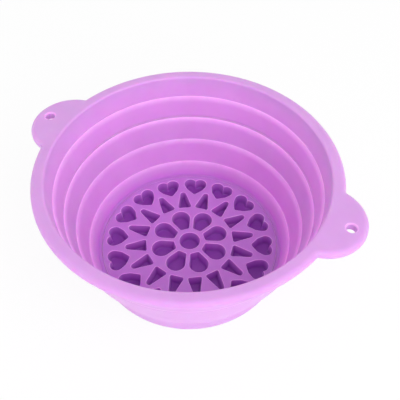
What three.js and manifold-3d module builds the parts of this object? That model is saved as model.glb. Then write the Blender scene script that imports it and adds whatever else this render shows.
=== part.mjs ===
// Collapsible face ice bowl, moulded in one colour of silicone.
// Stiff rings and thin fold bands step up from a tray of ice cells to a thick rim with two ears.
// Millimetres, +Z up. The origin is the centre of the foot, and the ears lie along X.

import * as THREE from 'three';
import Module from 'manifold-3d';
import { ConvexGeometry } from 'three/addons/geometries/ConvexGeometry.js';
import { mergeVertices } from 'three/addons/utils/BufferGeometryUtils.js';

const wasm = await Module();
wasm.setup();

const DEGREE = Math.PI / 180;

// Ice cells on the top of the tray, from the middle outwards
const PETAL_COUNT = 8;
const HEART_COUNT = 2 * PETAL_COUNT;
const CENTRE_CELL_RADIUS = 8.8;
const HUB_RIB = 4.4;
const PETAL_LENGTH = 20.0;
const PETAL_RIB = 3.0;
const RING_RIB = 3.9;
const WEDGE_LENGTH = 18.0;
const WEDGE_TIP_RADIUS = 2.6;
const WEDGE_RIB = 3.6;
const HEART_TIP_OVERLAP = 2.4;
const HEART_LENGTH = 17.8;
const HEART_WIDTH = 20.2;
const HEART_LOBE_RADIUS = 5.6;
const HEART_FLANK_RADIUS = 6.0;
const HEART_FLANK_FROM_TIP = 9.0;
const HEART_FLANK_OFFSET = 2.2;
const HEART_NOTCH_DEPTH = 3.2;
const TRAY_MARGIN = 6.8;

// Depth of the tray: the cells taper towards their floors
const FOOT_HEIGHT = 1.0;
const FOOT_WIDTH = 6.0;
const CELL_FLOOR = 1.6;
const CELL_DEPTH = 9.0;
const CELL_DRAFT = 8 * DEGREE;
const CELL_FLOOR_CORNER = 0.4;

// Bands of the side wall from the tray up: height of each, and its lean from upright
const BASE_BAND_HEIGHT = 11.8;
const BASE_BAND_LEAN = 19.6 * DEGREE;
const LOWER_FOLD_HEIGHT = 20.9;
const LOWER_FOLD_LEAN = 14.5 * DEGREE;
const MIDDLE_BAND_HEIGHT = 20.4;
const MIDDLE_BAND_LEAN = 11.2 * DEGREE;
const UPPER_FOLD_HEIGHT = 20.1;
const UPPER_FOLD_LEAN = 7.8 * DEGREE;
const RIM_BAND_HEIGHT = 18.2;
const RIM_BAND_LEAN = 7.0 * DEGREE;

// Sections of the wall, measured level
const LEDGE_WIDTH = 2.3;
const LEDGE_THICKNESS = 1.8;
const SHOULDER_ROUND = 1.4;
const WALL = 1.6;
const FOLD_WALL = 1.3;
const HINGE_WALL = 0.8;
const HINGE_LENGTH = 2.5;
const FOOT_ROUND = 4.0;

// Rim lip and its two ears, one flush plate all round
const LIP_WIDTH = 9.9;
const LIP_THICKNESS = 7.0;
const LIP_INNER_ROUND = 2.0;
const EDGE_ROUND_WIDTH = 4.2;
const EDGE_ROUND_HEIGHT = 3.2;
const EAR_REACH = 20.2;
const EAR_RADIUS = 31.0;
const EAR_ROOT_FILLET = 1.5;
const EAR_ROOT_DEPTH = 7.0;
const EAR_HOLE_DIAMETER = 7.2;
const EAR_HOLE_INSET = 11.2;
const EAR_HOLE_EDGE = 0.8;

// Zones of the moulding: the gap between two that are cut from each other along a curve, and how far
// along a wedge and along a heart the zigzag between their blocks turns
const ZONE_GAP = 0.3;
const ZIGZAG_ON_WEDGE = 1 / 3;
const ZIGZAG_ON_HEART = 0.6;

// Smoothness of the curves
const RING_SEGMENTS = 4 * HEART_COUNT;
const CELL_CIRCLE_POINTS = 12;
const EAR_SEGMENTS = 30;
const SHOULDER_STEPS = 2;
const EDGE_STEPS = 3;
const WELD_DISTANCE = 1e-5;

// Radii of the tray
const hubRadius = CENTRE_CELL_RADIUS + HUB_RIB / 2;
const petalInner = CENTRE_CELL_RADIUS + HUB_RIB;
const petalOuter = petalInner + PETAL_LENGTH;
const petalRing = petalOuter + RING_RIB / 2;
const wedgeBase = petalOuter + RING_RIB;
const wedgeTip = wedgeBase + WEDGE_LENGTH;
const heartTip = wedgeTip - HEART_TIP_OVERLAP;
const heartTop = heartTip + HEART_LENGTH;
const trayRadius = heartTop + TRAY_MARGIN;

// Levels of the tray
const cellFloorZ = FOOT_HEIGHT + CELL_FLOOR;
const trayTopZ = cellFloorZ + CELL_DEPTH;
const draftInset = CELL_DEPTH * Math.tan(CELL_DRAFT);
const cellCorner = CELL_FLOOR_CORNER + draftInset;

// Inner faces of the five bands, each stepping out over a ledge on top of the one below
function band(bottomRadius, bottomZ, height, lean) {
  const topZ = bottomZ + height;
  const topRadius = bottomRadius + height * Math.tan(lean);
  const radiusAt = (z) => bottomRadius + (z - bottomZ) * Math.tan(lean);
  return { bottomRadius, bottomZ, topRadius, topZ, radiusAt };
}

function bandAbove(lower, height, lean) {
  return band(lower.topRadius + LEDGE_WIDTH, lower.topZ, height, lean);
}

const baseBand = band(trayRadius, trayTopZ, BASE_BAND_HEIGHT, BASE_BAND_LEAN);
const lowerFold = bandAbove(baseBand, LOWER_FOLD_HEIGHT, LOWER_FOLD_LEAN);
const middleBand = bandAbove(lowerFold, MIDDLE_BAND_HEIGHT, MIDDLE_BAND_LEAN);
const upperFold = bandAbove(middleBand, UPPER_FOLD_HEIGHT, UPPER_FOLD_LEAN);
const rimBand = bandAbove(upperFold, RIM_BAND_HEIGHT, RIM_BAND_LEAN);

const lipTopZ = rimBand.topZ;
const lipBottomZ = lipTopZ - LIP_THICKNESS;
const lipOuter = rimBand.topRadius + LIP_WIDTH;

// Conversions between three.js geometry and solids that can be joined and cut
function solidOf(geometry) {
  const bare = geometry.clone();
  bare.deleteAttribute('normal');
  bare.deleteAttribute('uv');
  const merged = mergeVertices(bare, WELD_DISTANCE);
  return new wasm.Manifold(new wasm.Mesh({
    numProp: 3,
    vertProperties: new Float32Array(merged.attributes.position.array),
    triVerts: new Uint32Array(merged.index.array),
  }));
}

function geometryOf(solid) {
  const mesh = solid.getMesh();
  const geometry = new THREE.BufferGeometry();
  geometry.setAttribute('position', new THREE.BufferAttribute(mesh.vertProperties, mesh.numProp));
  geometry.setIndex(new THREE.BufferAttribute(mesh.triVerts, 1));
  geometry.computeVertexNormals();
  return geometry;
}

// Points along a quarter or other part of an ellipse, in a plane of radius and height
function arcPoints(radius, z, width, height, from, to, steps) {
  const points = [];
  for (let i = 0; i <= steps; i += 1) {
    const angle = from + (to - from) * i / steps;
    points.push([radius + width * Math.cos(angle), z + height * Math.sin(angle)]);
  }
  return points;
}

// A ring turned about Z from a closed outline of [radius, height] points, listed anticlockwise
function ring(outline) {
  const closed = [...outline, outline[0]];
  const points = closed.map(([radius, z]) => new THREE.Vector2(radius, z));
  return new THREE.LatheGeometry(points, RING_SEGMENTS).rotateX(Math.PI / 2);
}

// Rounded inner shoulder of a ledge, listed from the ledge's top down to the face below it
function shoulder(lower) {
  const radius = lower.topRadius + SHOULDER_ROUND;
  const z = lower.topZ - SHOULDER_ROUND;
  return arcPoints(radius, z, SHOULDER_ROUND, SHOULDER_ROUND, Math.PI / 2, Math.PI, SHOULDER_STEPS);
}

// Top of a stiff ring: the ledge that carries the fold above, from its outside to its shoulder
function ledgeForFold(stiff, fold) {
  const outside = fold.bottomRadius + HINGE_WALL;
  const underside = stiff.topZ - LEDGE_THICKNESS;
  return [
    [stiff.radiusAt(underside) + WALL, underside],
    [outside, underside],
    [outside, stiff.topZ],
    ...shoulder(stiff),
  ];
}

// Bottom of a stiff ring: the ledge that hangs on the fold below, from its shoulder to its outside
function ledgeOnFold(stiff, fold) {
  const underside = stiff.bottomZ - LEDGE_THICKNESS;
  const outside = stiff.bottomRadius + WALL;
  const corner = arcPoints(outside - LEDGE_THICKNESS, stiff.bottomZ, LEDGE_THICKNESS, LEDGE_THICKNESS,
    -Math.PI / 2, 0, SHOULDER_STEPS);
  return [
    [stiff.bottomRadius, stiff.bottomZ],
    ...shoulder(fold),
    [fold.radiusAt(underside), underside],
    ...corner,
  ];
}

function baseBandRing() {
  const seat = trayRadius;
  const footInner = seat - FOOT_WIDTH;
  const skirtTop = trayRadius + WALL;
  const footOuter = skirtTop - FOOT_ROUND;
  return ring([
    [footInner, 0],
    ...arcPoints(footOuter, FOOT_ROUND, FOOT_ROUND, FOOT_ROUND, -Math.PI / 2, 0, EDGE_STEPS),
    [skirtTop, trayTopZ],
    ...ledgeForFold(baseBand, lowerFold),
    [seat, trayTopZ],
    [seat, FOOT_HEIGHT],
    [footInner, FOOT_HEIGHT],
  ]);
}

function middleBandRing() {
  return ring([
    ...ledgeOnFold(middleBand, lowerFold),
    ...ledgeForFold(middleBand, upperFold),
  ]);
}

function rimBandRing() {
  return ring([
    ...ledgeOnFold(rimBand, upperFold),
    [rimBand.radiusAt(lipBottomZ) + WALL, lipBottomZ],
    [rimBand.radiusAt(lipBottomZ), lipBottomZ],
  ]);
}

// A fold band is thinned on the outside along both edges, where it bends
function foldRing(fold) {
  const bottom = fold.bottomZ;
  const top = fold.topZ - LEDGE_THICKNESS;
  const outer = (z, wall) => [fold.radiusAt(z) + wall, z];
  return ring([
    outer(bottom, HINGE_WALL),
    outer(bottom + HINGE_LENGTH, FOLD_WALL),
    outer(top - HINGE_LENGTH, FOLD_WALL),
    outer(top, HINGE_WALL),
    [fold.radiusAt(top), top],
    [fold.bottomRadius, bottom],
  ]);
}

// Rounded outer edge of the lip and the ears in section, from the underside to the top
function roundedEdge(radius) {
  const centre = radius - EDGE_ROUND_WIDTH;
  const lowZ = lipBottomZ + EDGE_ROUND_HEIGHT;
  const highZ = lipTopZ - EDGE_ROUND_HEIGHT;
  return [
    ...arcPoints(centre, lowZ, EDGE_ROUND_WIDTH, EDGE_ROUND_HEIGHT, -Math.PI / 2, 0, EDGE_STEPS),
    ...arcPoints(centre, highZ, EDGE_ROUND_WIDTH, EDGE_ROUND_HEIGHT, 0, Math.PI / 2, EDGE_STEPS),
  ];
}

// Rim lip: a flat top, a small round to the inside and a full round to the outside
function lipRing() {
  const innerCentre = rimBand.topRadius + LIP_INNER_ROUND;
  return ring([
    [rimBand.radiusAt(lipBottomZ), lipBottomZ],
    ...roundedEdge(lipOuter),
    ...arcPoints(innerCentre, lipTopZ - LIP_INNER_ROUND, LIP_INNER_ROUND, LIP_INNER_ROUND,
      Math.PI / 2, Math.PI, SHOULDER_STEPS),
  ]);
}

// A solid turned about an upright axis through x and y
function turned(outline, x, y) {
  const points = outline.map(([radius, z]) => new THREE.Vector2(radius, z));
  return new THREE.LatheGeometry(points, EAR_SEGMENTS).rotateX(Math.PI / 2).translate(x, y, 0);
}

const earCentre = lipOuter + EAR_REACH - EAR_RADIUS;

// Round lobe of the ear on +X, with the lip's own edge
function earLobe() {
  return turned([[0, lipBottomZ], ...roundedEdge(EAR_RADIUS), [0, lipTopZ]], earCentre, 0);
}

// Web in the corner between lip and lobe, hollowed so that its edge runs from the one to the other
function earWeb(side) {
  const toRim = lipOuter + EAR_ROOT_FILLET;
  const toLobe = EAR_RADIUS + EAR_ROOT_FILLET;
  const x = (toRim ** 2 - toLobe ** 2 + earCentre ** 2) / (2 * earCentre);
  const y = side * Math.sqrt(toRim ** 2 - x ** 2);
  const corner = new THREE.Vector2(x, y);
  const length = EAR_ROOT_FILLET + EDGE_ROUND_WIDTH;
  const towards = (target) => target.sub(corner).setLength(length).add(corner);
  const inLip = towards(new THREE.Vector2(0, 0));
  const inLobe = towards(new THREE.Vector2(earCentre, 0));
  const shape = new THREE.Shape([corner, inLip, inLobe]);
  const web = new THREE.ExtrudeGeometry(shape, { depth: LIP_THICKNESS, bevelEnabled: false });
  const mouth = 2 * length;
  const edge = roundedEdge(0).map(([radius, z]) => [EAR_ROOT_FILLET - radius, z]);
  const hollowed = [
    [0, lipBottomZ - LIP_THICKNESS],
    [mouth, lipBottomZ - LIP_THICKNESS],
    [mouth, lipBottomZ],
    ...edge,
    [mouth, lipTopZ],
    [mouth, lipTopZ + LIP_THICKNESS],
    [0, lipTopZ + LIP_THICKNESS],
  ];
  return solidOf(web.translate(0, 0, lipBottomZ)).subtract(solidOf(turned(hollowed, x, y)));
}

// Hanging hole, flared at both faces
function earHole() {
  const radius = EAR_HOLE_DIAMETER / 2;
  const flare = radius + EAR_HOLE_EDGE;
  const outline = [
    [0, lipBottomZ - EAR_HOLE_EDGE],
    [flare + EAR_HOLE_EDGE, lipBottomZ - EAR_HOLE_EDGE],
    [radius, lipBottomZ + EAR_HOLE_EDGE],
    [radius, lipTopZ - EAR_HOLE_EDGE],
    [flare + EAR_HOLE_EDGE, lipTopZ + EAR_HOLE_EDGE],
    [0, lipTopZ + EAR_HOLE_EDGE],
  ];
  return turned(outline, lipOuter + EAR_REACH - EAR_HOLE_INSET, 0);
}

// Everything further out along X than the ear's root
function earSide(rootX) {
  const reach = EAR_REACH + LIP_WIDTH + EAR_ROOT_DEPTH;
  const height = 2 * LIP_THICKNESS;
  const box = new THREE.BoxGeometry(reach, 2 * lipOuter, height);
  return box.translate(rootX + reach / 2, 0, lipBottomZ + LIP_THICKNESS / 2);
}

function lipAndEars() {
  const lip = solidOf(lipRing());
  const rootX = lipOuter - EAR_ROOT_DEPTH;
  const rightEar = lip.add(solidOf(earLobe()))
    .add(earWeb(1))
    .add(earWeb(-1))
    .intersect(solidOf(earSide(rootX)))
    .subtract(solidOf(earHole()));
  const rightNotch = earSide(rootX - ZONE_GAP);
  const leftNotch = rightNotch.clone().rotateZ(Math.PI);
  return {
    rim_lip: geometryOf(lip.subtract(solidOf(rightNotch)).subtract(solidOf(leftNotch))),
    right_ear: geometryOf(rightEar),
    left_ear: geometryOf(rightEar).rotateZ(Math.PI),
  };
}

// Point on the tray at a whole step of the ring's corners
function ringPoint(radius, step) {
  const corner = ((step % RING_SEGMENTS) + RING_SEGMENTS) % RING_SEGMENTS;
  const angle = 2 * Math.PI * corner / RING_SEGMENTS;
  return new THREE.Vector2(radius * Math.cos(angle), radius * Math.sin(angle));
}

function ringArc(radius, from, to) {
  const points = [];
  const direction = Math.sign(to - from);
  for (let step = from; step !== to + direction; step += direction) {
    points.push(ringPoint(radius, step));
  }
  return points;
}

// Block of the tray that holds one cell, before the cell is sunk into it
function block(outline) {
  const depth = trayTopZ - FOOT_HEIGHT;
  const shape = new THREE.Shape(outline);
  const geometry = new THREE.ExtrudeGeometry(shape, { depth, bevelEnabled: false });
  return solidOf(geometry.translate(0, 0, FOOT_HEIGHT));
}

// Hollow with drafted sides that wraps a set of circles, given along +X and turned to its angle
function hollow(circles, angle) {
  const points = [];
  const above = CELL_DEPTH + CELL_FLOOR;
  const flare = (above - CELL_DEPTH) * Math.tan(CELL_DRAFT);
  for (const { x, y, radius } of circles) {
    for (let i = 0; i < CELL_CIRCLE_POINTS; i += 1) {
      const turn = 2 * Math.PI * i / CELL_CIRCLE_POINTS;
      const level = (size, z) => points.push(
        new THREE.Vector3(x + size * Math.cos(turn), y + size * Math.sin(turn), z));
      level(radius - draftInset, cellFloorZ);
      level(radius + flare, cellFloorZ + above);
    }
  }
  return solidOf(new ConvexGeometry(points).rotateZ(angle));
}

// Circle in the corner between a rib along the edge of a sector and a cell's inner end
function cornerCircle(halfAngle, rib, innerRadius, side) {
  const offset = rib / 2 + cellCorner;
  const along = Math.sqrt((innerRadius + cellCorner) ** 2 - offset ** 2);
  const x = along * Math.cos(halfAngle) + offset * Math.sin(halfAngle);
  const y = along * Math.sin(halfAngle) - offset * Math.cos(halfAngle);
  return { x, y: side * y, radius: cellCorner };
}

function centreCell() {
  const circles = [{ x: 0, y: 0, radius: CENTRE_CELL_RADIUS }];
  return block(ringArc(hubRadius, 0, RING_SEGMENTS - 1)).subtract(hollow(circles, 0));
}

function petalCell(index) {
  const span = RING_SEGMENTS / PETAL_COUNT;
  const from = index * span - span / 2;
  const to = from + span;
  const halfAngle = Math.PI / PETAL_COUNT;
  const middle = (petalOuter + PETAL_RIB / 2) / (1 + Math.sin(halfAngle));
  const circles = [
    { x: middle, y: 0, radius: petalOuter - middle },
    cornerCircle(halfAngle, PETAL_RIB, petalInner, 1),
    cornerCircle(halfAngle, PETAL_RIB, petalInner, -1),
  ];
  const outline = [...ringArc(petalRing, from, to), ...ringArc(hubRadius, to, from)];
  return block(outline).subtract(hollow(circles, 2 * halfAngle * index));
}

// The wedges' blocks and the hearts' blocks meet along a zigzag between these two radii
const zigzagInner = wedgeBase + ZIGZAG_ON_WEDGE * WEDGE_LENGTH;
const zigzagOuter = heartTip + ZIGZAG_ON_HEART * HEART_LENGTH;
const heartSpan = RING_SEGMENTS / HEART_COUNT;
const heartHalfAngle = Math.PI / HEART_COUNT;

function wedgeCell(index) {
  const from = index * heartSpan;
  const to = from + heartSpan;
  const circles = [
    { x: wedgeTip - WEDGE_TIP_RADIUS, y: 0, radius: WEDGE_TIP_RADIUS },
    cornerCircle(heartHalfAngle, WEDGE_RIB, wedgeBase, 1),
    cornerCircle(heartHalfAngle, WEDGE_RIB, wedgeBase, -1),
  ];
  const outline = [
    ...ringArc(petalRing, to, from),
    ringPoint(zigzagInner, from),
    ringPoint(zigzagOuter, from + heartSpan / 2),
    ringPoint(zigzagInner, to),
  ];
  return block(outline).subtract(hollow(circles, (2 * index + 1) * heartHalfAngle));
}

function heartCell(index) {
  const middle = index * heartSpan;
  const from = middle - heartSpan / 2;
  const to = middle + heartSpan / 2;
  const tip = { x: heartTip + cellCorner, y: 0, radius: cellCorner };
  const notch = { x: heartTop - HEART_NOTCH_DEPTH - cellCorner, y: 0, radius: cellCorner };
  const lobe = (side) => ({
    x: heartTop - HEART_LOBE_RADIUS,
    y: side * (HEART_WIDTH / 2 - HEART_LOBE_RADIUS),
    radius: HEART_LOBE_RADIUS,
  });
  const flank = (side) => ({
    x: heartTip + HEART_FLANK_FROM_TIP,
    y: side * HEART_FLANK_OFFSET,
    radius: HEART_FLANK_RADIUS,
  });
  const outline = [
    ringPoint(zigzagInner, middle),
    ringPoint(zigzagOuter, from),
    ...ringArc(trayRadius - ZONE_GAP, from, to),
    ringPoint(zigzagOuter, to),
  ];
  const angle = 2 * heartHalfAngle * index;
  return block(outline)
    .subtract(hollow([tip, notch, flank(1), lobe(1)], angle))
    .subtract(hollow([tip, notch, flank(-1), lobe(-1)], angle));
}

// The bowl
const bowl = new THREE.Group();

function addPart(name, geometry) {
  const silicone = new THREE.MeshStandardMaterial({ color: 0xd9a0e8, roughness: 0.5, metalness: 0 });
  const mesh = new THREE.Mesh(geometry, silicone);
  mesh.name = name;
  bowl.add(mesh);
}

function addCells(name, count, makeCell) {
  for (let index = 0; index < count; index += 1) {
    addPart(`${name}_${index + 1}`, geometryOf(makeCell(index)));
  }
}

addPart('centre_cell', geometryOf(centreCell()));
addCells('petal_cell', PETAL_COUNT, petalCell);
addCells('wedge_cell', HEART_COUNT, wedgeCell);
addCells('heart_cell', HEART_COUNT, heartCell);
addPart('base_band', baseBandRing());
addPart('lower_fold_band', foldRing(lowerFold));
addPart('middle_band', middleBandRing());
addPart('upper_fold_band', foldRing(upperFold));
addPart('rim_band', rimBandRing());
for (const [name, geometry] of Object.entries(lipAndEars())) {
  addPart(name, geometry);
}

export default bowl;
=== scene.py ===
import math

import bmesh
import bpy
import numpy as np
from mathutils import Matrix, Vector, geometry


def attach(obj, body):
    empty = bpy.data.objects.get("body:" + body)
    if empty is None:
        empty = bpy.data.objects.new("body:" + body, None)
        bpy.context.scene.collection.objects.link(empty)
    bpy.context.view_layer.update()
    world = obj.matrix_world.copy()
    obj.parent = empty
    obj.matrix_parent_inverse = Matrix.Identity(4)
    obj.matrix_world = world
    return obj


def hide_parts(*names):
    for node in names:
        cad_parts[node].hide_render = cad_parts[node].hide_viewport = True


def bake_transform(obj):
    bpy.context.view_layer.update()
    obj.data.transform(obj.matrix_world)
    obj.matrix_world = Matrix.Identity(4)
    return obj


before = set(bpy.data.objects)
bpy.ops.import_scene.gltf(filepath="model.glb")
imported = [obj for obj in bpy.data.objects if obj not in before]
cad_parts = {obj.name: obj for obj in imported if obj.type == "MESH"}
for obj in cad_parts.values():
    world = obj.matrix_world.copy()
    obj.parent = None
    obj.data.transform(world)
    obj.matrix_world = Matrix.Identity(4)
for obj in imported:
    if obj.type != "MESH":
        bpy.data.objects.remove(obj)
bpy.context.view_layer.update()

MM = 0.001
DEGREE = math.pi / 180

# Ice cells of the tray from the middle outwards, in millimetres as in the CAD source
PETAL_COUNT = 8
HEART_COUNT = 2 * PETAL_COUNT
CENTRE_CELL_RADIUS = 8.8
HUB_RIB = 4.4
PETAL_LENGTH = 20.0
PETAL_RIB = 3.0
RING_RIB = 3.9
WEDGE_LENGTH = 18.0
WEDGE_TIP_RADIUS = 2.6
WEDGE_RIB = 3.6
HEART_TIP_OVERLAP = 2.4
HEART_LENGTH = 17.8
HEART_WIDTH = 20.2
HEART_LOBE_RADIUS = 5.6
HEART_FLANK_RADIUS = 6.0
HEART_FLANK_FROM_TIP = 9.0
HEART_FLANK_OFFSET = 2.2
HEART_NOTCH_DEPTH = 3.2
TRAY_MARGIN = 6.8

# Turn of the wedges past the hearts, as a share of the angle from one to the next
WEDGE_SHIFT = 0.5

# Depth of the tray
FOOT_HEIGHT = 1.0
FOOT_WIDTH = 6.0
CELL_FLOOR = 1.6
CELL_DEPTH = 9.0
CELL_DRAFT = 8 * DEGREE
CELL_FLOOR_CORNER = 0.4

# Height and lean of the bands of the wall, from the tray up
BASE_BAND = (11.8, 19.6 * DEGREE)
LOWER_FOLD = (20.9, 14.5 * DEGREE)
MIDDLE_BAND = (20.4, 11.2 * DEGREE)
UPPER_FOLD = (20.1, 7.8 * DEGREE)
RIM_BAND = (18.2, 7.0 * DEGREE)

# Sections of the wall
LEDGE_WIDTH = 2.3
LEDGE_THICKNESS = 1.8
WALL = 1.6
FOLD_WALL = 1.3
HINGE_WALL = 0.8
HINGE_LENGTH = 2.5
FOOT_ROUND = 4.0

# Seam between the tray and the lower wall, a little inside the tray's edge
TRAY_SEAM_INSET = 3.0
TRAY_SEAM_GAP = 0.1

# Rim lip and ears
LIP_WIDTH = 9.9
LIP_THICKNESS = 7.0
LIP_INNER_ROUND = 2.0
EDGE_ROUND_WIDTH = 4.2
EDGE_ROUND_HEIGHT = 3.2
EAR_REACH = 20.2
EAR_RADIUS = 31.0
EAR_HOLE_RADIUS = 3.6
EAR_HOLE_INSET = 11.2

# Roundings that only the look needs, and the strip of flat mesh kept beside a rounding
SHOULDER_WIDTH = 1.7
SHOULDER_HEIGHT = 5.5
CORNER_ROUND = 0.7
UNDER_ROUND = 1.6
LEDGE_ROUND = 0.5
CELL_EDGE_ROUND = 0.5
CELL_FLOOR_ROUND = 1.6
TRAY_EDGE_ROUND = 0.4
EAR_HOLE_ROUND = 1.3
FLAT_STRIP = 0.25

# Stub at each end of a fold that stays stiff, and how far beyond it the bending starts
FOLD_STUB = 0.9

# Fineness of the meshes
RING_SEGMENTS = 240
LIP_RAYS = 600
CELL_RAYS = 80
OUTLINE_RAYS = 720
CIRCLE_POINTS = 180
HOLE_SEGMENTS = 48
FOLD_STEPS = 36
EDGE_STEPS = 8
SHOULDER_STEPS = 10
FEWEST_ARC_STEPS = 2
ARC_STEP = 15 * DEGREE
CREASE = 42 * DEGREE

# Limits for joining points and for dividing safely
WELD = 1e-7
FLAT_WELD = 1e-6
NEARLY_ZERO = 1e-7
NEARLY_PARALLEL = 1e-9

# Search along spokes for the points at a given depth inside a shape
SEARCH_STEPS = 26
DEEPEST_SHARE = 0.95
CELL_SEARCH_MARGIN = 3.0
LIP_SEARCH_MARGIN = 1.0
WEDGE_CENTRE_SHARE = 0.27
HEART_CENTRE_SHARE = 0.2

# Choice of the triangulation that covers the whole hull of its points
WHOLE_HULL = 0

# Paint on the vertices: pale edges by how tightly an edge bends, as wear and painted highlight, and painted
# shade by depth in the tray
EDGE_WEAR_AND_HIGHLIGHT = "edge_wear_and_highlight"
WEAR_AND_HIGHLIGHT_FROM = 28 * DEGREE / MM
WEAR_AND_HIGHLIGHT_FULL = 56 * DEGREE / MM
# Painted highlight on the rounded top edges of the ledges
SHOULDER_HIGHLIGHT = 0.7
# Painted shade in the tray: its top and the floors of its cells are darker
PAINTED_SHADE = "painted_shade"
TRAY_SHADE = 0.45
SKIN_MARGIN = 0.05

# Silicone: how it takes light, and its colours
REFRACTION = 1.45
SUBSURFACE_WEIGHT = 0.8
SUBSURFACE_RADIUS = (1.0, 0.30, 0.70)
SUBSURFACE_SCALE = 0.005
SHEEN_WEIGHT = 0.1
SHEEN_ROUGHNESS = 0.5
DARKER_LILAC = (0.620, 0.318, 0.695, 1)
LIGHTER_LILAC = (0.660, 0.342, 0.735, 1)
# Painted shade: colours of the tray's top and of its cell floors
SHADED_TRAY_LILAC = (0.530, 0.080, 0.660, 1)
SHADED_CELL_FLOOR_LILAC = (0.320, 0.050, 0.460, 1)
# Pale colour of edges and ledge shoulders, as wear and painted highlight
WORN_AND_HIGHLIT_LILAC = (0.970, 0.490, 0.970, 1)

# Noise in the silicone as scale and detail, and what it is mapped to
NOISE_LOW = 0.3
NOISE_HIGH = 0.7
MOTTLING = (35, 4)
# Patches in the pale edges, which are wear and painted highlight
WEAR_AND_HIGHLIGHT_PATCHES = (90, 3)
WEAR_AND_HIGHLIGHT_RANGE = (0.6, 1.0)
SATIN = (120, 5)
ROUGHNESS_RANGE = (0.40, 0.50)
GRAIN = (1800, 3)
GRAIN_STRENGTH = 0.12
GRAIN_DEPTH = 0.0002

# White floor, in metres, a hair below the foot
FLOOR_REACH = 4.0
FLOOR_LEVEL = -0.0002
FLOOR_COLOUR = (0.92, 0.92, 0.92, 1)
FLOOR_ROUGHNESS = 0.9
FLOOR_GLOW_SHARE = 0.88
WHITE = (1, 1, 1, 1)

# Soft studio light, brighter from the sides than from overhead
SKY_AT_HORIZON = 1.02
SKY_OVERHEAD = 0.64

# Square softboxes in metres: name, place, the point they face, watts
SOFTBOX_SIZE = 1.1
SOFTBOXES = [
    ("front_softbox", (1.2, -1.2, 0.55), (0, 0, 0.06), 6),
    ("side_softbox", (-1.2, -0.9, 0.55), (0, 0, 0.06), 2),
    ("key_softbox", (0.85, -0.45, 1.1), (0, 0, 0.08), 9),
]

# Camera fitted to the photograph: distances in metres, film and lens in millimetres
CAMERA_AZIMUTH = 27.9 * DEGREE
CAMERA_ELEVATION = 46.83 * DEGREE
CAMERA_YAW = 1.07 * DEGREE
CAMERA_PITCH = 3.16 * DEGREE
CAMERA_ROLL = 0.72 * DEGREE
CAMERA_DISTANCE = 0.4307
MOUTH_HEIGHT = 0.1024
FILM_WIDTH = 36
FOCAL_LENGTH = 52.58

# Levels and radii that follow
petal_inner = CENTRE_CELL_RADIUS + HUB_RIB
petal_outer = petal_inner + PETAL_LENGTH
wedge_base = petal_outer + RING_RIB
wedge_tip = wedge_base + WEDGE_LENGTH
heart_tip = wedge_tip - HEART_TIP_OVERLAP
heart_top = heart_tip + HEART_LENGTH
tray_radius = heart_top + TRAY_MARGIN
tray_top = FOOT_HEIGHT + CELL_FLOOR + CELL_DEPTH
tray_seam = tray_radius - TRAY_SEAM_INSET
skirt = tray_radius + WALL
draft_inset = CELL_DEPTH * math.tan(CELL_DRAFT)
cell_corner = CELL_FLOOR_CORNER + draft_inset


class Band:
    """Inner face of one band of the wall."""

    def __init__(self, radius, z, size):
        height, lean = size
        self.low = z
        self.high = z + height
        self.radius = radius
        self.slope = math.tan(lean)

    def at(self, z):
        """Radius at a height."""
        return self.radius + (z - self.low) * self.slope

    def above(self, size):
        """The band that stands on the ledge over this one."""
        return Band(self.at(self.high) + LEDGE_WIDTH, self.high, size)


base_band = Band(tray_radius, tray_top, BASE_BAND)
lower_fold = base_band.above(LOWER_FOLD)
middle_band = lower_fold.above(MIDDLE_BAND)
upper_fold = middle_band.above(UPPER_FOLD)
rim_band = upper_fold.above(RIM_BAND)

lip_top = rim_band.high
lip_bottom = lip_top - LIP_THICKNESS
lip_inner = rim_band.at(lip_top)
lip_outer = lip_inner + LIP_WIDTH
ear_centre = lip_outer + EAR_REACH - EAR_RADIUS
ear_hole_x = lip_outer + EAR_REACH - EAR_HOLE_INSET


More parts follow.
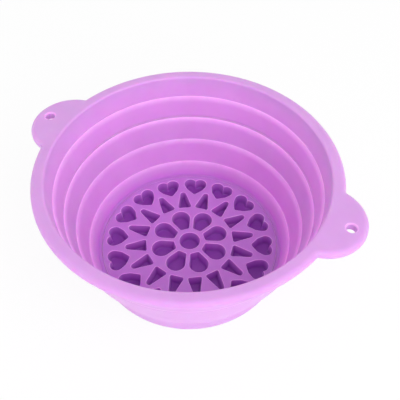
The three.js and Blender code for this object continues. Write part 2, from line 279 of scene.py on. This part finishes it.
def silicone_material():
    """Satin lilac silicone: soft mottling, fine grain, painted shade deeper in the tray, paler edges as
    wear and painted highlight.
    """
    material = bpy.data.materials.new("lilac_silicone")
    material.use_nodes = True
    nodes = material.node_tree.nodes
    links = material.node_tree.links
    shader = nodes["Principled BSDF"]
    shader.inputs["IOR"].default_value = REFRACTION
    shader.inputs["Subsurface Weight"].default_value = SUBSURFACE_WEIGHT
    shader.inputs["Subsurface Radius"].default_value = SUBSURFACE_RADIUS
    shader.inputs["Subsurface Scale"].default_value = SUBSURFACE_SCALE
    shader.inputs["Sheen Weight"].default_value = SHEEN_WEIGHT
    shader.inputs["Sheen Roughness"].default_value = SHEEN_ROUGHNESS
    place = nodes.new("ShaderNodeTexCoord")

    def noise(kind):
        scale, detail = kind
        texture = nodes.new("ShaderNodeTexNoise")
        texture.inputs["Scale"].default_value = scale
        texture.inputs["Detail"].default_value = detail
        links.new(place.outputs["Object"], texture.inputs["Vector"])
        return texture.outputs["Fac"]

    def mapped(value, wanted):
        low, high = wanted
        span = nodes.new("ShaderNodeMapRange")
        span.inputs["From Min"].default_value = NOISE_LOW
        span.inputs["From Max"].default_value = NOISE_HIGH
        span.inputs["To Min"].default_value = low
        span.inputs["To Max"].default_value = high
        links.new(value, span.inputs["Value"])
        return span.outputs["Result"]

    def painted(name):
        attribute = nodes.new("ShaderNodeAttribute")
        attribute.attribute_name = name
        return attribute.outputs["Fac"]

    def colour_mix(factor):
        mix = nodes.new("ShaderNodeMix")
        mix.data_type = "RGBA"
        links.new(factor, mix.inputs["Factor"])
        return mix

    mottled = colour_mix(mapped(noise(MOTTLING), (0, 1)))
    mottled.inputs["A"].default_value = DARKER_LILAC
    mottled.inputs["B"].default_value = LIGHTER_LILAC

    # Painted shade: darker, deeper lilac down into the tray and its cells
    painted_shade = painted(PAINTED_SHADE)
    shade = nodes.new("ShaderNodeValToRGB")
    tray_end, floor_end = shade.color_ramp.elements
    tray_end.position = TRAY_SHADE
    tray_end.color = SHADED_TRAY_LILAC
    floor_end.position = 1.0
    floor_end.color = SHADED_CELL_FLOOR_LILAC
    links.new(painted_shade, shade.inputs["Fac"])
    shaded = colour_mix(painted_shade)
    links.new(mottled.outputs["Result"], shaded.inputs["A"])
    links.new(shade.outputs["Color"], shaded.inputs["B"])

    # Pale edges and ledge shoulders in patches: wear and painted highlight
    patchy = nodes.new("ShaderNodeMath")
    patchy.operation = "MULTIPLY"
    links.new(painted(EDGE_WEAR_AND_HIGHLIGHT), patchy.inputs[0])
    links.new(mapped(noise(WEAR_AND_HIGHLIGHT_PATCHES), WEAR_AND_HIGHLIGHT_RANGE), patchy.inputs[1])
    worn_and_highlit = colour_mix(patchy.outputs["Value"])
    worn_and_highlit.inputs["B"].default_value = WORN_AND_HIGHLIT_LILAC
    links.new(shaded.outputs["Result"], worn_and_highlit.inputs["A"])
    links.new(worn_and_highlit.outputs["Result"], shader.inputs["Base Color"])

    links.new(mapped(noise(SATIN), ROUGHNESS_RANGE), shader.inputs["Roughness"])
    bump = nodes.new("ShaderNodeBump")
    bump.inputs["Strength"].default_value = GRAIN_STRENGTH
    bump.inputs["Distance"].default_value = GRAIN_DEPTH
    links.new(noise(GRAIN), bump.inputs["Height"])
    links.new(bump.outputs["Normal"], shader.inputs["Normal"])
    return material


silicone = silicone_material()


def paint_edge_wear_and_highlight(work):
    """Mark the points of tightly bent outward edges as paler, as wear and painted highlight, from 0 to 1.
    """
    wear_and_highlight = work.verts.layers.float.new(EDGE_WEAR_AND_HIGHLIGHT)
    for edge in work.edges:
        width = sum(face.calc_area() for face in edge.link_faces) / (2 * edge.calc_length())
        bend = edge.calc_face_angle_signed(0) / width
        worn_and_highlit = min(max((bend - WEAR_AND_HIGHLIGHT_FROM) / (WEAR_AND_HIGHLIGHT_FULL - WEAR_AND_HIGHLIGHT_FROM), 0), 1)
        for vertex in edge.verts:
            vertex[wear_and_highlight] = max(vertex[wear_and_highlight], worn_and_highlit)


def make_piece(name, points, faces):
    """A smooth mesh piece from points in millimetres."""
    mesh = bpy.data.meshes.new(name)
    mesh.from_pydata((np.asarray(points) * MM).tolist(), [], faces)
    work = bmesh.new()
    work.from_mesh(mesh)
    bmesh.ops.remove_doubles(work, verts=work.verts, dist=WELD)
    bmesh.ops.recalc_face_normals(work, faces=work.faces)
    paint_edge_wear_and_highlight(work)
    work.to_mesh(mesh)
    work.free()
    mesh.shade_smooth()
    mesh.set_sharp_from_angle(angle=CREASE)
    mesh.materials.append(silicone)
    piece = bpy.data.objects.new(name, mesh)
    bpy.context.scene.collection.objects.link(piece)
    return piece


def rounded(corners):
    """Outline through corners (across, up, rounding), with an arc at each corner that has a rounding."""
    points = []
    for i, (across, up, rounding) in enumerate(corners):
        here = np.array((across, up))
        if rounding == 0:
            points.append(here)
            continue
        before = np.array(corners[i - 1][:2]) - here
        after = np.array(corners[(i + 1) % len(corners)][:2]) - here
        before = before / np.linalg.norm(before)
        after = after / np.linalg.norm(after)
        half = math.acos(np.clip(before @ after, -1, 1)) / 2
        inward = (before + after) / np.linalg.norm(before + after)
        centre = here + inward * rounding / math.sin(half)
        first = here + before * rounding / math.tan(half) - centre
        last = here + after * rounding / math.tan(half) - centre
        turn = math.pi - 2 * half
        steps = max(FEWEST_ARC_STEPS, math.ceil(turn / ARC_STEP))
        for step in range(steps + 1):
            part = turn * step / steps
            spoke = (math.sin(turn - part) * first + math.sin(part) * last) / math.sin(turn)
            points.append(centre + spoke)
    return np.array(points)


def even_turns(count):
    """Angles spaced evenly round a full turn."""
    return 2 * math.pi * np.arange(count) / count


def even_spokes(count):
    """Unit vectors in plan, spaced evenly round a full turn."""
    turns = even_turns(count)
    return np.stack([np.cos(turns), np.sin(turns)], axis=-1)


def circle_points(radius, z, count, x=0.0):
    """Points of a level circle about an upright axis at x."""
    turns = even_turns(count)
    return np.stack([x + radius * np.cos(turns), radius * np.sin(turns), np.full(count, z)], axis=-1)


def lifted(plan, z):
    """Points in plan, lifted to a height."""
    return np.column_stack([plan, np.full(len(plan), z)])


def ring_piece(name, outline):
    """A piece turned about Z from a closed outline of radius and height."""
    turns = even_turns(RING_SEGMENTS)
    radius = outline[:, 0]
    height = np.tile(outline[:, 1], (RING_SEGMENTS, 1))
    points = np.stack([np.outer(np.cos(turns), radius), np.outer(np.sin(turns), radius), height], axis=-1)
    count = len(outline)
    faces = []
    for segment in range(RING_SEGMENTS):
        here = segment * count
        there = (segment + 1) % RING_SEGMENTS * count
        for i in range(count):
            j = (i + 1) % count
            faces.append((here + i, there + i, there + j, here + j))
    return make_piece(name, points.reshape(-1, 3), faces)


def fold_outer(fold, z):
    """Outer radius of a fold band, thinned towards both of its bending lines."""
    top = fold.high - LEDGE_THICKNESS
    share = np.clip(np.minimum(z - fold.low, top - z) / HINGE_LENGTH, 0, 1)
    return fold.at(z) + HINGE_WALL + (FOLD_WALL - HINGE_WALL) * share


def shoulder_rise(band, z):
    """How far up its rounded top edge a height lies on a band, from 0 to 1."""
    return np.clip((z - band.high) / SHOULDER_HEIGHT + 1, 0, 1)


def shoulder_at(band, z):
    """Radius inside a band whose top edge is rounded over like a quarter of an ellipse."""
    return band.at(z) + SHOULDER_WIDTH * (1 - np.sqrt(1 - shoulder_rise(band, z) ** 2))


def shoulder(band, start):
    """Corners up the rounded top edge of a band from a starting height, without more rounding."""
    first = math.asin(shoulder_rise(band, start))
    turns = np.linspace(first, math.pi / 2, SHOULDER_STEPS + 1)
    levels = band.high - SHOULDER_HEIGHT * (1 - np.sin(turns))
    return [(shoulder_at(band, z), z, 0) for z in levels]


def fold_levels(fold):
    """Heights of the bending part of a fold, between its stiff stubs."""
    return np.linspace(fold.low + FOLD_STUB, fold.high - LEDGE_THICKNESS - FOLD_STUB, FOLD_STEPS + 1)


def ledge_inside(stiff, fold):
    """Corners up over the ledge on a stiff ring, to the foot of the fold above it."""
    return [*shoulder(stiff, stiff.high - SHOULDER_HEIGHT), (fold.radius, fold.low, LEDGE_ROUND)]


def ledge_outside(stiff, fold):
    """Corners down under the ledge on a stiff ring, from the foot of the fold above it."""
    under = stiff.high - LEDGE_THICKNESS
    edge = fold.radius + HINGE_WALL
    return [(edge, fold.low, 0), (edge, under, LEDGE_ROUND), (stiff.at(under) + WALL, under, LEDGE_ROUND)]


def fold_inside(fold, stiff):
    """Corners up a fold and over the ledge under the stiff ring above it."""
    levels = fold_levels(fold)
    wall = [(shoulder_at(fold, z), z, 0) for z in levels]
    return [*wall, *shoulder(fold, levels[-1])[1:], (stiff.radius, stiff.low, CORNER_ROUND)]


def fold_outside(fold, stiff):
    """Corners down under the ledge of a stiff ring and down the fold below it."""
    under = fold.high - LEDGE_THICKNESS
    ledge = [(stiff.radius + WALL, under, UNDER_ROUND), (fold_outer(fold, under), under, LEDGE_ROUND)]
    wall = [(fold_outer(fold, z), z, 0) for z in fold_levels(fold)]
    return ledge + wall[::-1]


def bend_fold(piece):
    """Bake the piece's placement into the points of its mesh."""
    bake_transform(piece)


def paint_shoulder_highlight(piece, bands):
    """Paint a highlight on the rounded top edges inside bands, palest where they turn into the ledge."""
    points = np.array([vertex.co for vertex in piece.data.vertices]) / MM
    radius = np.hypot(points[:, 0], points[:, 1])
    height = points[:, 2]
    wear_and_highlight = piece.data.attributes[EDGE_WEAR_AND_HIGHLIGHT].data
    values = np.array([item.value for item in wear_and_highlight])
    for band in bands:
        inside = np.abs(radius - shoulder_at(band, height)) < SKIN_MARGIN
        below = height < band.high + SKIN_MARGIN
        pale = SHOULDER_HIGHLIGHT * shoulder_rise(band, height) ** 2
        values = np.maximum(values, np.where(inside & below, pale, 0))
    wear_and_highlight.foreach_set("value", values)


def shade_tray_margin(piece):
    """Give the strip of tray on the lower wall the painted shade of the tray's top."""
    painted_shade = piece.data.attributes.new(PAINTED_SHADE, "FLOAT", "POINT")
    for vertex, shaded in zip(piece.data.vertices, painted_shade.data):
        level = abs(vertex.co.z / MM - tray_top) < TRAY_EDGE_ROUND
        inside = vertex.co.xy.length / MM < skirt - SKIN_MARGIN
        shaded.value = TRAY_SHADE if level and inside else 0


def lower_wall():
    """Margin of the tray, base ring, lower fold and middle ring in one skin, to the upper fold's foot."""
    seam = fold_levels(upper_fold)[0]
    foot_inner = tray_radius - FOOT_WIDTH
    corners = [
        (tray_seam, FOOT_HEIGHT, 0),
        (tray_seam, tray_top, 0),
        (tray_radius, tray_top, TRAY_EDGE_ROUND),
        *ledge_inside(base_band, lower_fold),
        *fold_inside(lower_fold, middle_band),
        *ledge_inside(middle_band, upper_fold),
        (upper_fold.at(seam), seam, 0),
        (fold_outer(upper_fold, seam), seam, 0),
        *ledge_outside(middle_band, upper_fold),
        *fold_outside(lower_fold, middle_band),
        *ledge_outside(base_band, lower_fold),
        (skirt, tray_top, 0),
        (skirt, 0, FOOT_ROUND),
        (foot_inner, 0, LEDGE_ROUND),
        (foot_inner, FOOT_HEIGHT, 0),
    ]
    piece = ring_piece("lower_wall", rounded(corners)[::-1])
    paint_shoulder_highlight(piece, [base_band, lower_fold, middle_band])
    shade_tray_margin(piece)
    bend_fold(piece)
    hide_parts("base_band", "lower_fold_band", "middle_band")


def depth_inside(points, outline):
    """How far points lie inside a closed outline, negative outside it."""
    first = outline
    last = np.roll(outline, -1, axis=0)
    edge = last - first
    offset = points[:, None] - first[None]
    along = np.clip((offset * edge).sum(-1) / (edge ** 2).sum(-1), 0, 1)
    gap = np.linalg.norm(offset - along[..., None] * edge, axis=-1).min(axis=1)
    above_first = first[:, 1] > points[:, None, 1]
    above_last = last[:, 1] > points[:, None, 1]
    rise = np.where(edge[:, 1] == 0, 1, edge[:, 1])
    crossing = first[:, 0] + edge[:, 0] * (points[:, None, 1] - first[:, 1]) / rise
    hits = (above_first != above_last) & (points[:, None, 0] < crossing)
    return np.where(hits.sum(axis=1) % 2 == 1, gap, -gap)


def inset_loop(depth, centre, spokes, far, inset):
    """Points along spokes from a centre that lie a given depth inside a shape."""
    wanted = min(inset, DEEPEST_SHARE * depth(centre[None])[0])
    near = np.zeros(len(spokes))
    beyond = np.full(len(spokes), far)
    for _ in range(SEARCH_STEPS):
        middle = (near + beyond) / 2
        inside = depth(centre + middle[:, None] * spokes) > wanted
        near = np.where(inside, middle, near)
        beyond = np.where(inside, beyond, middle)
    return centre + near[:, None] * spokes


def star_outline(shapes, centre, count):
    """Fine outline of joined convex shapes about a centre in all of them, and even points along it."""
    spokes = even_spokes(OUTLINE_RAYS)
    reach = np.zeros(OUTLINE_RAYS)
    for shape in shapes:
        edge = np.roll(shape, -1, axis=0) - shape
        normal = np.stack([edge[:, 1], -edge[:, 0]], axis=-1)
        speed = spokes @ normal.T
        distance = ((shape - centre) * normal).sum(-1)
        leaving = speed > NEARLY_PARALLEL
        limit = np.where(leaving, distance / np.where(leaving, speed, 1), np.inf)
        reach = np.maximum(reach, limit.min(axis=1))
    dense = centre + reach[:, None] * spokes
    closed = np.concatenate([dense, dense[:1]])
    length = np.concatenate([[0], np.cumsum(np.linalg.norm(np.diff(closed, axis=0), axis=1))])
    wanted = length[-1] * np.arange(count) / count
    even = np.stack([np.interp(wanted, length, closed[:, k]) for k in (0, 1)], axis=-1)
    return dense, even


def hull(circles):
    """Convex outline round circles (x, y, radius), anticlockwise."""
    spokes = even_spokes(CIRCLE_POINTS)
    points = np.concatenate([np.array((x, y)) + radius * spokes for x, y, radius in circles])
    order = geometry.convex_hull_2d([Vector(p) for p in points])
    outline = points[order]
    after = np.roll(outline, -1, axis=0)
    area = (outline[:, 0] * after[:, 1] - outline[:, 1] * after[:, 0]).sum()
    return outline if area > 0 else outline[::-1]


def corner_circle(half_angle, rib, inner_radius, side):
    """Circle in the corner between a rib along the edge of a sector and a cell's inner end."""
    offset = rib / 2 + cell_corner
    along = math.sqrt((inner_radius + cell_corner) ** 2 - offset ** 2)
    x = along * math.cos(half_angle) + offset * math.sin(half_angle)
    y = along * math.sin(half_angle) - offset * math.cos(half_angle)
    return (x, side * y, cell_corner)


def centre_shapes():
    """Outline of the round cell, and the point inside it that its spokes start from."""
    return [hull([(0, 0, CENTRE_CELL_RADIUS)])], (0, 0)


def petal_shapes():
    """Outline of a petal along +X, rounded to the outside, and the start of its spokes."""
    half_angle = math.pi / PETAL_COUNT
    middle = (petal_outer + PETAL_RIB / 2) / (1 + math.sin(half_angle))
    corners = [corner_circle(half_angle, PETAL_RIB, petal_inner, side) for side in (1, -1)]
    return [hull([(middle, 0, petal_outer - middle), *corners])], (middle, 0)


def wedge_shapes():
    """Outline of a wedge along +X, pointed to the outside, and the start of its spokes."""
    half_angle = math.pi / HEART_COUNT
    corners = [corner_circle(half_angle, WEDGE_RIB, wedge_base, side) for side in (1, -1)]
    tip = (wedge_tip - WEDGE_TIP_RADIUS, 0, WEDGE_TIP_RADIUS)
    return [hull([tip, *corners])], (wedge_base + WEDGE_CENTRE_SHARE * WEDGE_LENGTH, 0)


def heart_shapes():
    """Outlines of both halves of a heart along +X, tip to the inside, and the start of its spokes."""
    tip = (heart_tip + cell_corner, 0, cell_corner)
    notch = (heart_top - HEART_NOTCH_DEPTH - cell_corner, 0, cell_corner)
    lobe_x = heart_top - HEART_LOBE_RADIUS
    lobe_y = HEART_WIDTH / 2 - HEART_LOBE_RADIUS
    sides = []
    for side in (1, -1):
        lobe = (lobe_x, side * lobe_y, HEART_LOBE_RADIUS)
        flank = (heart_tip + HEART_FLANK_FROM_TIP, side * HEART_FLANK_OFFSET, HEART_FLANK_RADIUS)
        sides.append(hull([tip, notch, flank, lobe]))
    return sides, (lobe_x - HEART_CENTRE_SHARE * HEART_LOBE_RADIUS, 0)


def cell_section():
    """Inset and height down a cell's wall, from the flat top over its rounded edge to its floor."""
    floor = tray_top - CELL_DEPTH
    reach = CELL_FLOOR_ROUND * math.tan((math.pi / 2 - CELL_DRAFT) / 2)
    return rounded([
        (-CELL_EDGE_ROUND - FLAT_STRIP, tray_top, 0),
        (0, tray_top, CELL_EDGE_ROUND),
        (draft_inset, floor, CELL_FLOOR_ROUND),
        (draft_inset + reach + FLAT_STRIP, floor, 0),
    ])


def cell_loops(shapes, centre):
    """Loops of points down one cell that lies along +X, and the middle of its floor."""
    centre = np.array(centre, float)
    outline, even = star_outline(shapes, centre, CELL_RAYS)
    spokes = even - centre
    far = np.linalg.norm(spokes, axis=1).max() + CELL_SEARCH_MARGIN
    spokes = spokes / np.linalg.norm(spokes, axis=1)[:, None]
    loops = []
    for inset, z in cell_section():
        plan = inset_loop(lambda points: depth_inside(points, outline), centre, spokes, far, inset)
        loops.append(lifted(plan, z))
    return loops, np.array([*centre, tray_top - CELL_DEPTH])


def turned(points, angle):
    """Points turned about Z."""
    cosine = math.cos(angle)
    sine = math.sin(angle)
    x, y, z = points[..., 0], points[..., 1], points[..., 2]
    return np.stack([x * cosine - y * sine, x * sine + y * cosine, z], axis=-1)


class MeshParts:
    """Points and faces of a mesh under construction."""

    def __init__(self):
        self.points = []
        self.faces = []

    def add(self, points):
        """Numbers of the points added."""
        first = len(self.points)
        self.points.extend(np.asarray(points).tolist())
        return list(range(first, len(self.points)))

    def bridge(self, loops):
        """Quads between neighbouring closed loops of equal length."""
        for lower, upper in zip(loops[:-1], loops[1:]):
            count = len(lower)
            for i in range(count):
                j = (i + 1) % count
                self.faces.append((lower[i], lower[j], upper[j], upper[i]))

    def lathe(self, outline, count, x=0.0):
        """Loops of a surface turned from an outline of radius and height, about an upright axis at x."""
        loops = [self.add(circle_points(radius, z, count, x)) for radius, z in outline]
        self.bridge(loops)
        return loops

    def fan(self, loop, point):
        """Triangles from a closed loop to a point."""
        centre = self.add([point])[0]
        for i, here in enumerate(loop):
            self.faces.append((here, loop[(i + 1) % len(loop)], centre))

    def flat(self, outer, holes):
        """Triangles in the plane between an outer loop and holes in it."""
        loops = [outer, *holes]
        order = [index for loop in loops for index in loop]
        plan = np.array([self.points[index][:2] for index in order])
        edges = []
        start = 0
        for loop in loops:
            count = len(loop)
            edges += [(start + i, start + (i + 1) % count) for i in range(count)]
            start += count
        places = [Vector(p) for p in plan]
        _, _, triangles, origin, _, _ = geometry.delaunay_2d_cdt(places, edges, [], WHOLE_HULL, FLAT_WELD)
        corners = np.array([[origin[k][0] for k in triangle] for triangle in triangles])
        middle = plan[corners].mean(axis=1)
        kept = depth_inside(middle, plan[: len(outer)]) > 0
        start = len(outer)
        for hole in holes:
            edge = plan[start: start + len(hole)]
            start += len(hole)
            centre = edge.mean(axis=0)
            reach = np.linalg.norm(edge - centre, axis=1).max()
            near = np.linalg.norm(middle - centre, axis=1) < reach
            kept[near] &= depth_inside(middle[near], edge) < 0
        self.faces += [tuple(order[k] for k in triangle) for triangle in corners[kept]]


def shade_cells(piece):
    """Paint shade that deepens down the tray's cells, and let the wear and painted highlight of their edges
    fade with depth.
    """
    painted_shade = piece.data.attributes.new(PAINTED_SHADE, "FLOAT", "POINT")
    wear_and_highlight = piece.data.attributes[EDGE_WEAR_AND_HIGHLIGHT]
    for vertex, shaded, worn_and_highlit in zip(piece.data.vertices, painted_shade.data, wear_and_highlight.data):
        depth = tray_top - vertex.co.z / MM
        share = np.clip(depth / CELL_DEPTH, 0, 1)
        underside = depth > CELL_DEPTH + SKIN_MARGIN
        shaded.value = 0 if underside else TRAY_SHADE + (1 - TRAY_SHADE) * math.sqrt(share)
        worn_and_highlit.value *= 1 - math.sqrt(share)


def tray():
    """Tray with its cells, out to its seam with the lower wall."""
    parts = MeshParts()
    kinds = [
        ("centre_cell", centre_shapes, 1, 0.0),
        ("petal_cell", petal_shapes, PETAL_COUNT, 0.0),
        ("wedge_cell", wedge_shapes, HEART_COUNT, WEDGE_SHIFT),
        ("heart_cell", heart_shapes, HEART_COUNT, 0.0),
    ]
    mouths = []
    nodes = []
    for name, make_shapes, count, shift in kinds:
        loops, floor = cell_loops(*make_shapes())
        for index in range(count):
            angle = 2 * math.pi * (index + shift) / count
            placed = [parts.add(turned(loop, angle)) for loop in loops]
            parts.bridge(placed)
            parts.fan(placed[-1], turned(floor, angle))
            mouths.append(placed[0])
            nodes.append(name if count == 1 else f"{name}_{index + 1}")
    edge = tray_seam - TRAY_SEAM_GAP
    rim = rounded([
        (edge - TRAY_EDGE_ROUND - FLAT_STRIP, tray_top, 0),
        (edge, tray_top, TRAY_EDGE_ROUND),
        (edge, FOOT_HEIGHT, 0),
    ])
    sides = parts.lathe(rim, RING_SEGMENTS)
    parts.flat(sides[0], mouths)
    parts.faces.append(tuple(reversed(sides[-1])))
    piece = make_piece("tray", parts.points, parts.faces)
    shade_cells(piece)
    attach(piece, "base")
    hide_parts(*nodes)


def rim_depth(points):
    """How far points lie inside the plan of lip and ears, which is the same in all four quarters."""
    points = np.abs(points)
    ear = np.array((ear_centre, 0))
    root_x = (lip_outer ** 2 - EAR_RADIUS ** 2 + ear_centre ** 2) / (2 * ear_centre)
    root = np.array((root_x, math.sqrt(lip_outer ** 2 - root_x ** 2)))
    from_axis = np.linalg.norm(points, axis=1)
    from_ear = np.linalg.norm(points - ear, axis=1)
    on_lip = points * (lip_outer / np.maximum(from_axis, NEARLY_ZERO))[:, None]
    on_ear = ear + (points - ear) * (EAR_RADIUS / np.maximum(from_ear, NEARLY_ZERO))[:, None]
    to_lip = np.where(on_lip[:, 0] < root_x, np.abs(lip_outer - from_axis), np.inf)
    to_ear = np.where(on_ear[:, 0] > root_x, np.abs(EAR_RADIUS - from_ear), np.inf)
    gap = np.minimum(np.minimum(to_lip, to_ear), np.linalg.norm(points - root, axis=1))
    return np.where((from_axis < lip_outer) | (from_ear < EAR_RADIUS), gap, -gap)


def edge_section():
    """Inset and height round the outer edge of the lip and the ears, from the flat top to the underside."""
    section = [(EDGE_ROUND_WIDTH + FLAT_STRIP, lip_top)]
    for step in range(EDGE_STEPS + 1):
        angle = math.pi / 2 * (1 - step / EDGE_STEPS)
        inset = EDGE_ROUND_WIDTH * (1 - math.cos(angle))
        section.append((inset, lip_top - EDGE_ROUND_HEIGHT * (1 - math.sin(angle))))
    mirrored = [(inset, lip_top + lip_bottom - z) for inset, z in reversed(section)]
    return section + mirrored


def upper_wall():
    """Upper fold, rim band, lip and ears in one skin."""
    parts = MeshParts()
    spokes = even_spokes(LIP_RAYS)
    far = lip_outer + EAR_REACH + LIP_SEARCH_MARGIN
    outside = []
    for inset, z in edge_section():
        plan = inset_loop(rim_depth, np.zeros(2), spokes, far, inset)
        outside.append(parts.add(lifted(plan, z)))
    parts.bridge(outside)

    neck = rim_band.at(lip_bottom) + WALL
    wall = rounded([
        (neck + LEDGE_ROUND + FLAT_STRIP, lip_bottom, 0),
        (neck, lip_bottom, LEDGE_ROUND),
        *fold_outside(upper_fold, rim_band),
        *fold_inside(upper_fold, rim_band),
        (lip_inner, lip_top, LIP_INNER_ROUND),
        (lip_inner + LIP_INNER_ROUND + FLAT_STRIP, lip_top, 0),
    ])
    inside = parts.lathe(wall, RING_SEGMENTS)

    hole = rounded([
        (EAR_HOLE_RADIUS + EAR_HOLE_ROUND + FLAT_STRIP, lip_top, 0),
        (EAR_HOLE_RADIUS, lip_top, EAR_HOLE_ROUND),
        (EAR_HOLE_RADIUS, lip_bottom, EAR_HOLE_ROUND),
        (EAR_HOLE_RADIUS + EAR_HOLE_ROUND + FLAT_STRIP, lip_bottom, 0),
    ])
    holes = [parts.lathe(hole, HOLE_SEGMENTS, x) for x in (ear_hole_x, -ear_hole_x)]
    parts.flat(outside[0], [inside[-1], holes[0][0], holes[1][0]])
    parts.flat(outside[-1], [inside[0], holes[0][-1], holes[1][-1]])
    piece = make_piece("upper_wall", parts.points, parts.faces)
    paint_shoulder_highlight(piece, [upper_fold])
    bend_fold(piece)
    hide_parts("upper_fold_band", "rim_band", "rim_lip", "left_ear", "right_ear")


def backdrop_rays(nodes, links):
    """1 for the rays that show the background: to the camera, in gloss or through clear material."""
    path = nodes.new("ShaderNodeLightPath")
    shown = path.outputs["Is Camera Ray"]
    for kind in ("Is Glossy Ray", "Is Transmission Ray"):
        either = nodes.new("ShaderNodeMath")
        either.operation = "MAXIMUM"
        links.new(shown, either.inputs[0])
        links.new(path.outputs[kind], either.inputs[1])
        shown = either.outputs[0]
    return shown


def white_floor():
    """Floor that looks nearly white and keeps a soft shadow."""
    floor_mesh = bpy.data.meshes.new("floor")
    sides = ((-1, -1), (1, -1), (1, 1), (-1, 1))
    corners = [(x * FLOOR_REACH, y * FLOOR_REACH, FLOOR_LEVEL) for x, y in sides]
    floor_mesh.from_pydata(corners, [], [(0, 1, 2, 3)])
    floor = bpy.data.objects.new("floor", floor_mesh)
    bpy.context.scene.collection.objects.link(floor)
    material = bpy.data.materials.new("white_floor")
    material.use_nodes = True
    nodes = material.node_tree.nodes
    links = material.node_tree.links
    surface = nodes["Principled BSDF"]
    surface.inputs["Base Color"].default_value = FLOOR_COLOUR
    surface.inputs["Roughness"].default_value = FLOOR_ROUGHNESS
    glow = nodes.new("ShaderNodeEmission")
    glow.inputs["Strength"].default_value = 1.0
    share = nodes.new("ShaderNodeMath")
    share.operation = "MULTIPLY"
    share.inputs[1].default_value = FLOOR_GLOW_SHARE
    links.new(backdrop_rays(nodes, links), share.inputs[0])
    mix = nodes.new("ShaderNodeMixShader")
    links.new(share.outputs[0], mix.inputs["Fac"])
    links.new(surface.outputs[0], mix.inputs[1])
    links.new(glow.outputs[0], mix.inputs[2])
    links.new(mix.outputs[0], nodes["Material Output"].inputs["Surface"])
    floor_mesh.materials.append(material)


def studio_sky():
    """World that lights the bowl softly and shows as plain white."""
    world = bpy.data.worlds.new("studio")
    bpy.context.scene.world = world
    world.use_nodes = True
    nodes = world.node_tree.nodes
    links = world.node_tree.links
    sky = nodes["Background"]
    sky.inputs["Color"].default_value = WHITE
    up = nodes.new("ShaderNodeTexCoord")
    height = nodes.new("ShaderNodeSeparateXYZ")
    links.new(up.outputs["Generated"], height.inputs[0])
    fade = nodes.new("ShaderNodeMapRange")
    fade.inputs["From Min"].default_value = 0.0
    fade.inputs["From Max"].default_value = 1.0
    fade.inputs["To Min"].default_value = SKY_AT_HORIZON
    fade.inputs["To Max"].default_value = SKY_OVERHEAD
    links.new(height.outputs["Z"], fade.inputs["Value"])
    links.new(fade.outputs["Result"], sky.inputs["Strength"])
    backdrop = nodes.new("ShaderNodeBackground")
    backdrop.inputs["Color"].default_value = WHITE
    backdrop.inputs["Strength"].default_value = 1.0
    choice = nodes.new("ShaderNodeMixShader")
    links.new(backdrop_rays(nodes, links), choice.inputs["Fac"])
    links.new(sky.outputs[0], choice.inputs[1])
    links.new(backdrop.outputs[0], choice.inputs[2])
    links.new(choice.outputs[0], nodes["World Output"].inputs["Surface"])


def softbox(name, place, target, watts):
    """Square lamp at a place, facing a target."""
    light = bpy.data.lights.new(name, "AREA")
    light.size = SOFTBOX_SIZE
    light.energy = watts
    lamp = bpy.data.objects.new(name, light)
    lamp.location = place
    lamp.rotation_euler = (Vector(target) - Vector(place)).to_track_quat("-Z", "Y").to_euler()
    bpy.context.scene.collection.objects.link(lamp)


def camera():
    """Camera at the photograph's viewing angle, aimed a little off the middle of the mouth."""
    lens = bpy.data.cameras.new("camera")
    lens.sensor_width = FILM_WIDTH
    lens.lens = FOCAL_LENGTH
    eye = bpy.data.objects.new("camera", lens)
    tilt = math.pi / 2 - CAMERA_ELEVATION
    facing = Matrix.Rotation(CAMERA_AZIMUTH, 3, "Z") @ Matrix.Rotation(tilt, 3, "X")
    aim = (
        Matrix.Rotation(CAMERA_YAW, 3, "Y").transposed()
        @ Matrix.Rotation(CAMERA_PITCH, 3, "X").transposed()
        @ Matrix.Rotation(CAMERA_ROLL, 3, "Z").transposed()
    )
    turn = facing @ aim
    place = Vector((0, 0, MOUTH_HEIGHT)) + facing @ Vector((0, 0, CAMERA_DISTANCE))
    eye.matrix_world = Matrix.Translation(place) @ turn.to_4x4()
    bpy.context.scene.collection.objects.link(eye)
    bpy.context.scene.camera = eye


camera()
white_floor()
studio_sky()
for settings in SOFTBOXES:
    softbox(*settings)
bpy.context.scene.view_settings.view_transform = "Standard"

lower_wall()
upper_wall()
tray()
